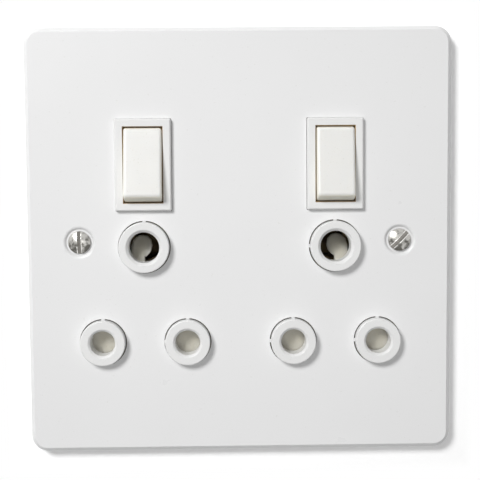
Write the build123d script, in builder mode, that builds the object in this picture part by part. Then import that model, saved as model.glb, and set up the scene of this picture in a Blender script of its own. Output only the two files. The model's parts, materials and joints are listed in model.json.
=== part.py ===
"""Double switched socket outlet for a square wall box, three round pins at each outlet.

Front faces -Y and up is +Z. The origin is the middle of the cover plate on the wall surface.
Heights are measured from the wall towards the front, so a height of h lies at y = -h.
Both rockers are drawn switched off: the top end pressed in, the bottom end standing out.
"""

import os
from math import cos, radians, sin, tan, tau

from build123d import *

# Cover plate: pressed steel tray with a turned edge
plate_size = 127.0
plate_corner_r = 5.0
plate_depth = 5.0
plate_edge = 1.2
sheet_t = 1.2
seat_h = plate_depth - sheet_t

# Outlet layout: three round pins, earth on top
outlet_pitch = 57.15
pin_pitch = 25.4
earth_rise = 28.6
pin_row_z = -30.2
earth_z = pin_row_z + earth_rise
switch_z = 22.9
line_pin_r = 3.53
line_pin_len = 18.6
earth_pin_r = 4.355
earth_pin_len = 28.6

# Collars that stand through the plate, and the nibs that centre them in its holes
line_bore_r = 3.75
line_collar_r = 6.75
line_mouth = 0.6
earth_bore_r = 4.6
earth_collar_r = 7.55
earth_mouth = 0.75
collar_proud = 2.8
collar_face_h = plate_depth + collar_proud
hole_gap = 0.35
nib_w = 1.0
nib_clear = 0.05

# Switch surround and rocker
bezel_w = 16.8
bezel_h = 27.3
bezel_corner = 0.3
bezel_gap = 0.12
bezel_proud = 1.7
bezel_face_h = plate_depth + bezel_proud
bezel_edge = 0.4
opening_w = 12.0
opening_h = 22.8
rocker_side_gap = 0.35
rocker_end_gap = 0.3
rocker_w = opening_w - 2 * rocker_side_gap
rocker_r = opening_h / 2 - rocker_end_gap
rocker_face = 4.6
rocker_skirt = 2.5
rocker_wall = 1.5
rocker_edge = 0.5
half_swing = 9.0
pivot_h = 4.2
pivot_r = 1.5
pivot_depth = 1.5
pivot_clear = 0.05
pivot_end_gap = 0.15

# Housing: front moulding and rear moulding meet at the parting height
flange_t = 2.0
flange_back_h = seat_h - flange_t
flange_lip = 4.5
parting_h = -3.0
wall_t = 2.0
floor_t = 2.4
upper_half_w = 40.5
lower_half_w = 48.6
body_top_z = 38.5
body_step_z = -17.0
body_low_z = -46.5
well_wall = 2.4

# Metal strip, contact tubes and the level they stand on
strip_t = 1.0
strip_w = 5.0
tube_wall = 0.8
tube_grip = 0.02
tube_slit = 1.2
tip_room = 1.4
earth_tip_room = 3.8
floor_h = collar_face_h - line_pin_len - tip_room - strip_t
rear_h = floor_h - floor_t
deep_floor_h = collar_face_h - earth_pin_len - earth_tip_room - strip_t
deep_rear_h = deep_floor_h - floor_t
bar_top_z = 9.0
bar_low_z = -12.0
run_offset = 9.4
leg_z = -22.3
neutral_z = -40.0

# Rocker plunger, spring and see-saw contact
plunger_reach = 12.0
plunger_w = 3.4
plunger_clear = 0.1
plunger_top = 4.0
plunger_shoulder = 10.0
plunger_tip_r = 0.9
post_w = 6.0
post_end = 5.5
bore_top = 2.0
wire_t = 0.45
spring_turns = 4
turn_steps = 5
arm_gap = 0.3
arm_t = 1.4
arm_w = 5.0
arm_len = 9.0
button_r = 1.9
button_t = 0.8
button_inset = 2.4
contact_gap = 0.1
fulcrum_r = 0.8
fulcrum_drop = 0.2
fulcrum_clear = 0.05
blade_t = 1.0

# Shutters: pushed down by the earth pin, returned by a spring
shutter_t = 2.0
shutter_clear = 0.2
shutter_travel = 7.7
land_x = 4.2
land_z = 4.1
stem_half_w = 3.75
cam_rise = shutter_travel + earth_bore_r - earth_pin_r - 0.05
cam_w = 6.4
cam_disc = 6.8
cam_shift = 1.25
cam_drop = 5.0
cam_t = 1.6
cam_root = 4.2
cam_foot = 2.0
cam_sides = 12
guide_clear = 0.25
guide_gap = 1.8
guide_low_z = pin_row_z + land_z + guide_gap
guide_top_z = earth_z - earth_bore_r - cam_foot - shutter_travel - 2 * guide_clear
rib_t = 1.2
rest_rise = 11.3
rest_z = pin_row_z + rest_rise
rest_w = 10.0
rest_t = 1.8
shutter_spring_r = 1.5
spring_notch = 4.0
spring_side_room = 1.1

# Fixings
fixing_pitch = 95.9
fixing_r = 1.75
fixing_neck_r = 1.6
fixing_len = 29.0
fixing_head_r = 3.35
fixing_head_h = 2.1
fixing_rim = 1.4
fixing_top_r = 2.7
fixing_slot_w = 0.9
fixing_slot_depth = 1.2
dimple_r = 4.5
dimple_floor_r = 3.9
dimple_depth = 0.6
dimple_room = 1.5
yoke_t = 1.2
yoke_gap = 0.4
yoke_arm = 5.0
ear_w = 16.0
ear_reach = 6.0
slot_len = 6.0
peg_w = 2.6
peg_head_w = 4.0
peg_head_t = 0.8
peg_inset = 2.1
peg_low = 4.5
peg_drop = 11.5
assembly_r = 1.45
assembly_head_r = 2.7
assembly_head_h = 1.6
boss_w = 6.4

# Terminals: brass blocks with a wire bore, clamped by a screw from behind
block_w = 9.0
block_len = 9.8
block_cover = 0.6
wire_bore_r = 2.4
wire_bore_cover = 1.2
terminal_r = 1.5
terminal_head_r = 2.6
terminal_head_h = 1.8
fit_clear = 0.15

# Small screws, their holes and the pressed contacts are drawn with this many sides
small_sides = 8
tube_sides = 8

# Values that follow from those above
outlets = (("left", -outlet_pitch / 2, -1), ("right", outlet_pitch / 2, 1))
outlet_xs = [x for _, x, _ in outlets]
switch_points = [(x, switch_z) for x in outlet_xs]
earth_points = [(x, earth_z) for x in outlet_xs]
line_points = [(x + s * pin_pitch / 2, pin_row_z) for x in outlet_xs for s in (-1, 1)]
neutral_points = [(x - pin_pitch / 2, pin_row_z) for x in outlet_xs]
fixing_points = [(s * fixing_pitch / 2, 0) for s in (-1, 1)]
peg_rows = (body_step_z + peg_low, body_top_z - peg_drop)
peg_points = [(s * (upper_half_w + yoke_gap + peg_inset), z) for s in (-1, 1) for z in peg_rows]
assembly_points = [(0, 17.0), (0, -24.0)]
strip_h = floor_h + strip_t
deep_strip_h = deep_floor_h + strip_t
block_h = parting_h - block_cover - strip_h
line_tube_r = line_pin_r + tube_grip
earth_tube_r = earth_pin_r + tube_grip
shutter_front_h = flange_back_h - shutter_clear
shutter_back_h = shutter_front_h - shutter_t
line_tube_top_h = shutter_back_h - 0.6
earth_tube_top_h = shutter_front_h - cam_drop - cam_t - 0.8
dimple_floor_h = plate_depth - dimple_depth
yoke_back_h = flange_back_h - yoke_t
arm_front_h = pivot_h - plunger_reach * cos(radians(half_swing)) - arm_gap
arm_back_h = arm_front_h - arm_t
fulcrum_h = arm_back_h - fulcrum_drop
live_z = switch_z + arm_len - button_inset
bar_z = (bar_top_z + bar_low_z) / 2


def at(h):
    """Plane parallel to the wall at height h, drawn in x and z."""
    return Plane.XZ.offset(h)


def side(x, h, z, tilt=0.0):
    """Plane across the switch, drawn in up and out, turned by tilt about its own origin."""
    lean = radians(tilt)
    return Plane(origin=(x, -h, z), x_dir=(0, sin(lean), cos(lean)), z_dir=(1, 0, 0))


def rocker_level(x, out):
    """Plane square to the rocker's own axis, at a distance out from the pivot."""
    lean = radians(half_swing)
    normal = Vector(0, -cos(lean), sin(lean))
    return Plane(origin=Vector(x, -pivot_h, switch_z) + normal * out, x_dir=(1, 0, 0), z_dir=normal)


def tee(grow, mode=Mode.ADD):
    """Housing outline: a tall block over a wide one, grown or shrunk all round."""
    tall = body_top_z - body_low_z
    wide = body_step_z - body_low_z
    with Locations((0, body_low_z + tall / 2)):
        Rectangle(2 * (upper_half_w + grow), tall + 2 * grow, mode=mode)
    with Locations((0, body_low_z + wide / 2)):
        Rectangle(2 * (lower_half_w + grow), wide + 2 * grow, mode=mode)


def band(x_low, x_high, z_low, z_high):
    """Rectangle between two corners, added to the sketch in hand."""
    with Locations(((x_low + x_high) / 2, (z_low + z_high) / 2)):
        Rectangle(abs(x_high - x_low), abs(z_high - z_low))


def small(radius, mode=Mode.ADD):
    """Small round outline, drawn as a polygon whose flats are at the radius."""
    RegularPolygon(radius, small_sides, major_radius=False, mode=mode)


def tube(radius, mode=Mode.ADD):
    """Outline of a contact tube, pressed from strip with flats at the radius."""
    RegularPolygon(radius, tube_sides, major_radius=False, mode=mode)


def spring(seat, radius, length):
    """Square wire wound about the seat's normal, in straight lengths."""
    steps = spring_turns * turn_steps
    turns = [(tau * i / turn_steps, length * i / steps) for i in range(steps + 1)]
    path = [seat.from_local_coords((radius * cos(a), radius * sin(a), rise)) for a, rise in turns]
    with BuildPart() as wound:
        with BuildLine() as coil:
            Polyline(*path)
        with BuildSketch(Plane(origin=coil.line @ 0, z_dir=coil.line % 0)):
            Rectangle(wire_t, wire_t)
        sweep(path=coil.line, transition=Transition.RIGHT)
    return wound.part


# Cover plate
with BuildPart() as cover_plate:
    with BuildSketch(at(0)):
        RectangleRounded(plate_size, plate_size, plate_corner_r)
    extrude(amount=plate_depth)
    chamfer(cover_plate.faces().sort_by(Axis.Y)[0].edges(), plate_edge)
    with BuildSketch(at(0)):
        inner = plate_size - 2 * sheet_t
        RectangleRounded(inner, inner, plate_corner_r - sheet_t)
    extrude(amount=seat_h, mode=Mode.SUBTRACT)
    # dimples coined for the fixing screws
    for x, z in fixing_points:
        with BuildSketch(at(dimple_floor_h)):
            with Locations((x, z)):
                Circle(dimple_floor_r)
        with BuildSketch(at(plate_depth)):
            with Locations((x, z)):
                Circle(dimple_r)
        loft(mode=Mode.SUBTRACT)
    with BuildSketch(at(seat_h)) as cut_outs:
        with Locations(*switch_points):
            Rectangle(bezel_w + 2 * bezel_gap, bezel_h + 2 * bezel_gap)
        chamfer(cut_outs.vertices(), bezel_corner)
        with Locations(*fixing_points):
            small(fixing_r + 0.25)
        with Locations(*earth_points):
            Circle(earth_collar_r + hole_gap)
        with Locations(*line_points):
            Circle(line_collar_r + hole_gap)
    extrude(amount=sheet_t, mode=Mode.SUBTRACT)

# Front moulding: flange behind the plate, skirt, switch wells, surrounds and pin collars in one piece
with BuildPart() as front_moulding:
    with BuildSketch(at(flange_back_h)):
        tee(flange_lip)
        with Locations(*fixing_points):
            Rectangle(2 * (dimple_r + dimple_room), 2 * (dimple_r + dimple_room), mode=Mode.SUBTRACT)
    extrude(amount=flange_t)
    with BuildSketch(at(parting_h)):
        tee(0)
        tee(-wall_t, mode=Mode.SUBTRACT)
        with Locations(*switch_points):
            Rectangle(opening_w + 2 * well_wall, opening_h + 2 * well_wall)
        with Locations(*assembly_points):
            Rectangle(boss_w, boss_w)
    extrude(amount=flange_back_h - parting_h)
    # guides for the shutter stems
    with BuildSketch(at(shutter_back_h)):
        for x in outlet_xs:
            for s in (-1, 1):
                edge = x + s * (stem_half_w + guide_clear)
                band(edge, edge + s * rib_t, guide_low_z, guide_top_z)
    extrude(amount=flange_back_h - shutter_back_h)
    # surrounds
    with BuildSketch(at(seat_h)) as surrounds:
        with Locations(*switch_points):
            Rectangle(bezel_w, bezel_h)
        chamfer(surrounds.vertices(), bezel_corner)
    extrude(amount=bezel_face_h - seat_h)
    rims = front_moulding.faces().filter_by(Axis.Y).group_by(Axis.Y)[0]
    chamfer(rims.edges(), bezel_edge)
    # collars, each with nibs above and at its left that reach the edge of the plate's hole
    for points, radius in ((earth_points, earth_collar_r), (line_points, line_collar_r)):
        with BuildSketch(at(seat_h)):
            with Locations(*points):
                Circle(radius)
        extrude(amount=collar_face_h - seat_h)
        with BuildSketch(at(seat_h)):
            reach = radius + hole_gap - nib_clear
            for x, z in points:
                band(x - nib_w / 2, x + nib_w / 2, z, z + reach)
                band(x - reach, x, z - nib_w / 2, z + nib_w / 2)
        extrude(amount=sheet_t)
    # pin bores with their chamfered mouths
    for points, radius, mouth in (
        (earth_points, earth_bore_r, earth_mouth),
        (line_points, line_bore_r, line_mouth),
    ):
        with BuildSketch(at(flange_back_h)):
            with Locations(*points):
                Circle(radius)
        extrude(amount=collar_face_h - flange_back_h, mode=Mode.SUBTRACT)
        rings = front_moulding.edges().filter_by(GeomType.CIRCLE).group_by(Axis.Y)[0]
        chamfer(rings.filter_by(lambda e: abs(e.radius - radius) < 1e-4), mouth)
    # switch openings, with grooves from behind that the rocker's spring presses the pivots into
    with BuildSketch(at(parting_h)):
        with Locations(*switch_points):
            Rectangle(opening_w, opening_h)
    extrude(amount=bezel_face_h - parting_h, mode=Mode.SUBTRACT)
    for x in outlet_xs:
        with BuildSketch(side(x, pivot_h, switch_z)):
            Circle(pivot_r + pivot_clear)
            with Locations((0, (parting_h - pivot_h) / 2)):
                Rectangle(2 * (pivot_r + pivot_clear), pivot_h - parting_h)
        extrude(amount=opening_w / 2 + pivot_depth, both=True, mode=Mode.SUBTRACT)
    # pegs headed over behind the yoke
    with BuildSketch(at(yoke_back_h)):
        with Locations(*peg_points):
            Rectangle(peg_w, peg_w)
    extrude(amount=yoke_t)
    with BuildSketch(at(yoke_back_h - peg_head_t)):
        with Locations(*peg_points):
            Rectangle(peg_head_w, peg_head_w)
    extrude(amount=peg_head_t)
    # pilot holes for the assembly screws
    with BuildSketch(at(parting_h)):
        with Locations(*assembly_points):
            small(assembly_r + pivot_clear)
    extrude(amount=flange_back_h - parting_h, mode=Mode.SUBTRACT)

# Steel yoke behind the flange, with an ear for each fixing screw
with BuildPart() as mounting_yoke:
    with BuildSketch(at(yoke_back_h)):
        reach = upper_half_w + yoke_gap
        foot_z = body_step_z + yoke_gap
        head_z = body_top_z + yoke_gap
        band(-reach - yoke_arm, reach + yoke_arm, foot_z, head_z + yoke_arm)
        for s in (-1, 1):
            band(s * reach, s * (fixing_pitch / 2 + ear_reach), -ear_w / 2, ear_w / 2)
        with Locations((0, (foot_z + head_z) / 2)):
            Rectangle(2 * reach, head_z - foot_z, mode=Mode.SUBTRACT)
        with Locations(*peg_points):
            Rectangle(peg_w + 0.1, peg_w + 0.1, mode=Mode.SUBTRACT)
        with Locations(*fixing_points):
            Rectangle(slot_len, 2 * fixing_r + 0.5, mode=Mode.SUBTRACT)
    extrude(amount=yoke_t)

# Rear moulding: shallow tray for the strips, with a deep bar for the earth tubes
live_block_z = (body_top_z - block_len - fit_clear, body_top_z - fit_clear)
neutral_block_z = (body_low_z + fit_clear, body_low_z + block_len + fit_clear)
earth_block_z = (bar_top_z - block_len - fit_clear, bar_top_z - fit_clear)
blocks = (
    ("live", live_block_z, strip_h, floor_h, rear_h, 1),
    ("neutral", neutral_block_z, strip_h, floor_h, rear_h, -1),
    ("earth", earth_block_z, deep_strip_h, deep_floor_h, deep_rear_h, 1),
)
with BuildPart() as rear_moulding:
    with BuildSketch(at(rear_h)):
        tee(0)
    extrude(amount=parting_h - rear_h)
    with BuildSketch(at(floor_h)):
        tee(-wall_t)
        with Locations(*assembly_points):
            Rectangle(boss_w, boss_w, mode=Mode.SUBTRACT)
        for x in outlet_xs:
            with Locations((x, rest_z)):
                Rectangle(rest_w, rest_t, mode=Mode.SUBTRACT)
    extrude(amount=parting_h - floor_h, mode=Mode.SUBTRACT)
    with BuildSketch(at(parting_h)):
        for x in outlet_xs:
            with Locations((x, rest_z)):
                Rectangle(2 * stem_half_w - 1.0, rest_t)
    extrude(amount=shutter_back_h - shutter_clear - parting_h)
    with BuildSketch(at(deep_rear_h)):
        band(-upper_half_w, upper_half_w, bar_low_z, bar_top_z)
    extrude(amount=rear_h - deep_rear_h)
    chamfer(rear_moulding.faces().sort_by(Axis.Y)[-1].edges(), 1.0)
    with BuildSketch(at(deep_floor_h)):
        pocket_w = upper_half_w - wall_t
        band(-pocket_w, pocket_w, bar_low_z + wall_t, bar_top_z - wall_t)
    extrude(amount=floor_h - deep_floor_h, mode=Mode.SUBTRACT)
    # wall notches that let the terminal blocks come out flush, and holes for their screws
    for _, (z_low, z_high), seat, floor, rear, mouth in blocks:
        with BuildSketch(at(seat)):
            wall_z = z_high + fit_clear if mouth > 0 else z_low - fit_clear
            band(-block_w / 2 - fit_clear, block_w / 2 + fit_clear, wall_z, wall_z - mouth * wall_t)
        extrude(amount=block_h + fit_clear, mode=Mode.SUBTRACT)
        with BuildSketch(at(rear)):
            with Locations((0, (z_low + z_high) / 2)):
                small(terminal_head_r + 0.3)
        extrude(amount=floor - rear, mode=Mode.SUBTRACT)
    # assembly screws from behind
    with BuildSketch(at(rear_h)):
        with Locations(*assembly_points):
            small(assembly_r + pivot_clear)
    extrude(amount=parting_h - rear_h, mode=Mode.SUBTRACT)
    with BuildSketch(at(rear_h)):
        with Locations(*assembly_points):
            small(assembly_head_r + 0.3)
    extrude(amount=assembly_head_h, mode=Mode.SUBTRACT)

# Fixing screws: raised head with a slot and a thinner neck, left one upright and right one turned
with BuildPart() as fixing_screws:
    for (x, z), turn in zip(fixing_points, (2.0, -45.0)):
        with BuildSketch(Plane(origin=(x, -dimple_floor_h, z), x_dir=(1, 0, 0), z_dir=(0, 0, -1))):
            with BuildLine():
                Polyline(
                    (0, fixing_head_h),
                    (0, 0),
                    (fixing_head_r, 0),
                    (fixing_head_r, fixing_rim),
                    (fixing_top_r, fixing_head_h),
                    close=True,
                )
            make_face()
        revolve(axis=Axis((x, 0, z), (0, 1, 0)))
        with BuildSketch(at(0)):
            with Locations((x, z)):
                small(fixing_neck_r)
        extrude(amount=dimple_floor_h)
        with BuildSketch(at(dimple_floor_h - fixing_len)):
            with Locations((x, z)):
                Circle(fixing_r)
        extrude(amount=fixing_len - dimple_floor_h)
        with BuildSketch(at(dimple_floor_h + fixing_head_h - fixing_slot_depth)):
            with Locations(Location((x, z), turn)):
                Rectangle(fixing_slot_w, 2 * fixing_head_r + 1)
        extrude(amount=fixing_slot_depth, mode=Mode.SUBTRACT)

# Assembly screws that hold the two mouldings together
with BuildPart() as assembly_screws:
    with BuildSketch(at(rear_h + 0.2)):
        with Locations(*assembly_points):
            small(assembly_head_r)
    extrude(amount=assembly_head_h - 0.2)
    with BuildSketch(at(rear_h + assembly_head_h)):
        with Locations(*assembly_points):
            small(assembly_r)
    extrude(amount=flange_back_h - 0.5 - rear_h - assembly_head_h)
    with BuildSketch(at(rear_h + 0.2)):
        with Locations(*assembly_points):
            Rectangle(2 * assembly_head_r + 1, 0.8)
    extrude(amount=0.8, mode=Mode.SUBTRACT)

# Live feed strip with a fixed contact under the upper end of each see-saw
with BuildPart() as live_busbar:
    with BuildSketch(at(floor_h)):
        half = outlet_pitch / 2 + strip_w / 2
        band(-half, half, live_z - strip_w / 2, live_z + strip_w / 2)
        band(-block_w / 2, block_w / 2, live_z - strip_w / 2, body_top_z - wall_t - fit_clear)
        with Locations((0, sum(live_block_z) / 2)):
            small(terminal_r + 0.1, mode=Mode.SUBTRACT)
    extrude(amount=strip_t)

closed_h = arm_back_h - button_t - contact_gap
with BuildPart() as fixed_contacts:
    with BuildSketch(at(strip_h)):
        with Locations(*[(x, live_z) for x in outlet_xs]):
            small(button_r)
    extrude(amount=closed_h - strip_h)

# Neutral strip with a contact tube for each outlet
with BuildPart() as neutral_busbar:
    with BuildSketch(at(floor_h)):
        low_x = neutral_points[0][0]
        high_x = neutral_points[1][0]
        half = strip_w / 2
        band(low_x - half, high_x + half, neutral_z - half, neutral_z + half)
        for x, z in neutral_points:
            band(x - half, x + half, neutral_z, z)
            with Locations((x, z)):
                tube(line_tube_r + tube_wall)
        with Locations((0, sum(neutral_block_z) / 2)):
            small(terminal_r + 0.1, mode=Mode.SUBTRACT)
    extrude(amount=strip_t)
    with BuildSketch(at(strip_h)):
        for x, z in neutral_points:
            with Locations((x, z)):
                tube(line_tube_r + tube_wall)
                tube(line_tube_r, mode=Mode.SUBTRACT)
            with Locations((x, z + line_tube_r)):
                Rectangle(tube_slit, 2 * line_tube_r, mode=Mode.SUBTRACT)
    extrude(amount=line_tube_top_h - strip_h)

# Earth strip on the floor of the deep bar with both earth tubes
with BuildPart() as earth_busbar:
    with BuildSketch(at(deep_floor_h)):
        half = outlet_pitch / 2 + earth_tube_r + tube_wall
        band(-half, half, earth_z - strip_w, earth_z + strip_w)
        with Locations((0, sum(earth_block_z) / 2)):
            small(terminal_r + 0.1, mode=Mode.SUBTRACT)
    extrude(amount=strip_t)
    with BuildSketch(at(deep_strip_h)):
        for x, z in earth_points:
            with Locations((x, z)):
                tube(earth_tube_r + tube_wall)
                tube(earth_tube_r, mode=Mode.SUBTRACT)
            with Locations((x, z + earth_tube_r)):
                Rectangle(tube_slit, 2 * earth_tube_r, mode=Mode.SUBTRACT)
    extrude(amount=earth_tube_top_h - deep_strip_h)

# Terminal blocks, each with its wire bore open at the edge of the housing
terminals = {}
bore_h = block_h - wire_bore_cover - wire_bore_r
for block_name, (z_low, z_high), seat, _, _, _ in blocks:
    with BuildPart() as terminal:
        with BuildSketch(at(seat)):
            band(-block_w / 2, block_w / 2, z_low, z_high)
        extrude(amount=block_h)
        with BuildSketch(Plane(origin=(0, -seat - bore_h, z_low), x_dir=(1, 0, 0), z_dir=(0, 0, 1))):
            Circle(wire_bore_r)
        extrude(amount=block_len, mode=Mode.SUBTRACT)
        with BuildSketch(at(seat)):
            with Locations((0, (z_low + z_high) / 2)):
                small(terminal_r + 0.05)
        extrude(amount=bore_h, mode=Mode.SUBTRACT)
    terminals[block_name + "_terminal"] = terminal.part

with BuildPart() as terminal_screws:
    for _, (z_low, z_high), seat, floor, _, _ in blocks:
        z = (z_low + z_high) / 2
        with BuildSketch(at(floor - terminal_head_h)):
            with Locations((0, z)):
                small(terminal_head_r)
        extrude(amount=terminal_head_h)
        with BuildSketch(at(floor)):
            with Locations((0, z)):
                small(terminal_r)
        extrude(amount=seat + bore_h - wire_bore_r - floor)
        with BuildSketch(at(floor - terminal_head_h)):
            with Locations((0, z)):
                Rectangle(2 * terminal_head_r + 1, 0.8)
        extrude(amount=0.9, mode=Mode.SUBTRACT)

# Moving and paired pieces of each outlet
paired = {}
for name, x, out in outlets:
    # Rocker: arc-ended shell on two pivot stubs, with a post for the spring and plunger
    with BuildPart() as rocker:
        with BuildSketch(side(x, pivot_h, switch_z, half_swing)):
            Circle(rocker_r)
            with Locations((0, rocker_face + rocker_r)):
                Rectangle(3 * rocker_r, 2 * rocker_r, mode=Mode.SUBTRACT)
            with Locations((0, -rocker_skirt - rocker_r)):
                Rectangle(3 * rocker_r, 2 * rocker_r, mode=Mode.SUBTRACT)
        extrude(amount=rocker_w / 2, both=True)
        chamfer(rocker.faces().filter_by(GeomType.PLANE).sort_by(Axis.Y)[0].edges(), rocker_edge)
        with BuildSketch(side(x, pivot_h, switch_z, half_swing)):
            Circle(rocker_r - rocker_wall)
            with Locations((0, rocker_face - rocker_wall + rocker_r)):
                Rectangle(3 * rocker_r, 2 * rocker_r, mode=Mode.SUBTRACT)
            with Locations((0, -rocker_skirt - rocker_r)):
                Rectangle(3 * rocker_r, 2 * rocker_r, mode=Mode.SUBTRACT)
        extrude(amount=rocker_w / 2 - rocker_wall, both=True, mode=Mode.SUBTRACT)
        for s in (-1, 1):
            with BuildSketch(side(x + s * rocker_w / 2, pivot_h, switch_z, half_swing)):
                RegularPolygon(pivot_r, small_sides)
            extrude(amount=s * (rocker_side_gap + pivot_depth - pivot_end_gap))
        with BuildSketch(rocker_level(x, -post_end)):
            Rectangle(post_w, post_w)
        extrude(amount=post_end + rocker_face - rocker_wall)
        with BuildSketch(rocker_level(x, -post_end)):
            Rectangle(plunger_w + 2 * plunger_clear, plunger_w + 2 * plunger_clear)
        extrude(amount=post_end + bore_top, mode=Mode.SUBTRACT)
    paired[name + "_rocker"] = rocker.part

    # Plunger: square, with a rounded nose that bears on the see-saw
    with BuildPart() as plunger:
        with BuildSketch(side(x, pivot_h, switch_z, half_swing)):
            nose = plunger_reach - plunger_tip_r
            Polygon(
                (-plunger_w / 2, -plunger_top),
                (plunger_w / 2, -plunger_top),
                (plunger_w / 2, -plunger_shoulder),
                (plunger_tip_r, -nose),
                (-plunger_tip_r, -nose),
                (-plunger_w / 2, -plunger_shoulder),
                align=None,
            )
            with Locations((0, -nose)):
                Circle(plunger_tip_r)
        extrude(amount=plunger_w / 2, both=True)
    paired[name + "_plunger"] = plunger.part

    # Spring over the plunger, inside the post
    ends = wire_t / 2 + 0.05
    coil_r = plunger_w / 2 - wire_t / 2 - 0.1
    seat = rocker_level(x, -plunger_top + ends)
    paired[name + "_rocker_spring"] = spring(seat, coil_r, bore_top + plunger_top - 2 * ends)

    # See-saw contact: lower arm flat on this side, upper arm lifted clear of the fixed contact
    lift = radians(2 * half_swing)
    bend = tan(radians(half_swing))
    near = fulcrum_drop
    far = fulcrum_drop + arm_t
    with BuildPart() as contact_arm:
        with BuildSketch(side(x, fulcrum_h, switch_z)):
            Polygon(
                (-arm_len, near),
                (-arm_len, far),
                (-far * bend, far),
                (arm_len * cos(lift) - far * sin(lift), arm_len * sin(lift) + far * cos(lift)),
                (arm_len * cos(lift) - near * sin(lift), arm_len * sin(lift) + near * cos(lift)),
                (-near * bend, near),
                align=None,
            )
            Circle(fulcrum_r + fulcrum_clear, mode=Mode.SUBTRACT)
        extrude(amount=arm_w / 2, both=True)
        along = arm_len - button_inset
        button_z = switch_z + along * cos(lift) - near * sin(lift)
        button_h = fulcrum_h + along * sin(lift) + near * cos(lift)
        under = Plane(origin=(x, -button_h, button_z), x_dir=(1, 0, 0), z_dir=(0, cos(lift), sin(lift)))
        with BuildSketch(under):
            small(button_r)
        extrude(amount=button_t)
    paired[name + "_contact_arm"] = contact_arm.part

    # Live strip of this outlet: see-saw cradle at one end, pin tube at the other
    run_x = x - out * run_offset
    pin_x = x + pin_pitch / 2
    half = strip_w / 2
    with BuildPart() as live_strip:
        with BuildSketch(at(floor_h)):
            band(run_x - half, run_x + half, leg_z - half, switch_z + half)
            band(min(x - half, run_x - half), max(x + half, run_x + half), switch_z - half, switch_z + half)
            band(min(pin_x, run_x) - half, max(pin_x, run_x) + half, leg_z - half, leg_z + half)
            band(pin_x - half, pin_x + half, pin_row_z, leg_z + half)
            with Locations((pin_x, pin_row_z)):
                tube(line_tube_r + tube_wall)
        extrude(amount=strip_t)
        with BuildSketch(at(strip_h)):
            with Locations((pin_x, pin_row_z)):
                tube(line_tube_r + tube_wall)
                tube(line_tube_r, mode=Mode.SUBTRACT)
            with Locations((pin_x, pin_row_z - line_tube_r)):
                Rectangle(tube_slit, 2 * line_tube_r, mode=Mode.SUBTRACT)
        extrude(amount=line_tube_top_h - strip_h)
        with BuildSketch(side(x, fulcrum_h, switch_z)):
            Circle(fulcrum_r)
            with Locations((0, (strip_h - fulcrum_h) / 2)):
                Rectangle(blade_t, fulcrum_h - strip_h)
        extrude(amount=arm_w / 2 + 0.5, both=True)
    paired[name + "_live_strip"] = live_strip.part

    # Shutter: lands over the line and neutral bores, stem and sloping tongue behind the earth bore
    cam_x = x + out * cam_shift
    cam_low_z = earth_z - earth_bore_r
    cam_mid_z = cam_low_z + cam_rise - cam_disc / 2
    with BuildPart() as shutter:
        with BuildSketch(side(cam_x, shutter_front_h, cam_low_z)):
            Polygon(
                (-cam_foot, 0),
                (0, 0),
                (cam_rise, -cam_drop),
                (cam_rise, -cam_drop - cam_t),
                (-cam_foot, -shutter_t),
                align=None,
            )
        extrude(amount=cam_w / 2, both=True)
        with BuildSketch(at(shutter_front_h)):
            turns = [tau * i / cam_sides for i in range(cam_sides)]
            with Locations((cam_x, cam_mid_z)):
                Polygon(*[(cam_w / 2 * sin(a), cam_disc / 2 * cos(a)) for a in turns], align=None)
            edge = cam_x + out * cam_w / 2
            band(edge, edge - out * cam_root, cam_low_z - cam_foot, cam_mid_z)
        extrude(amount=-cam_drop - cam_t, mode=Mode.INTERSECT)
        with BuildSketch(at(shutter_back_h)):
            reach = pin_pitch / 2 + land_x
            band(x - reach, x + reach, pin_row_z - land_z, pin_row_z + land_z)
            band(x - stem_half_w, x + stem_half_w, pin_row_z, cam_low_z)
            with Locations((x, pin_row_z - land_z + spring_notch / 2)):
                Rectangle(2 * (shutter_spring_r + spring_side_room), spring_notch, mode=Mode.SUBTRACT)
        extrude(amount=shutter_t)
    paired[name + "_shutter"] = shutter.part

    # Return spring between the shutter and the housing's lower wall
    low_z = body_low_z + wall_t + ends
    high_z = pin_row_z - land_z + spring_notch - ends
    spring_h = shutter_front_h - shutter_spring_r - wire_t / 2
    seat = Plane((x, -spring_h, low_z))
    paired[name + "_shutter_spring"] = spring(seat, shutter_spring_r, high_z - low_z)

pieces = {
    "cover_plate": cover_plate.part,
    "front_moulding": front_moulding.part,
    "rear_moulding": rear_moulding.part,
    "mounting_yoke": mounting_yoke.part,
    "fixing_screws": fixing_screws.part,
    "assembly_screws": assembly_screws.part,
    "live_busbar": live_busbar.part,
    "fixed_contacts": fixed_contacts.part,
    "neutral_busbar": neutral_busbar.part,
    "earth_busbar": earth_busbar.part,
    "terminal_screws": terminal_screws.part,
    **terminals,
    **paired,
}
os.makedirs("parts", exist_ok=True)
for label, piece in pieces.items():
    piece.label = label
    export_step(piece, "parts/" + label + ".step")
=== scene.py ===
"""Looks of the double switched socket outlet: finishes, softened pieces, wall, lamps and camera.

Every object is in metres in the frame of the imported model: the front faces -Y, +Z is up and the
wall surface is the plane y = 0.
"""

import json
import logging
import math
from dataclasses import dataclass, field, replace
from enum import Enum
from typing import Callable, Sequence, Union

import bmesh
import bpy
from mathutils import Matrix, Vector


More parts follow.
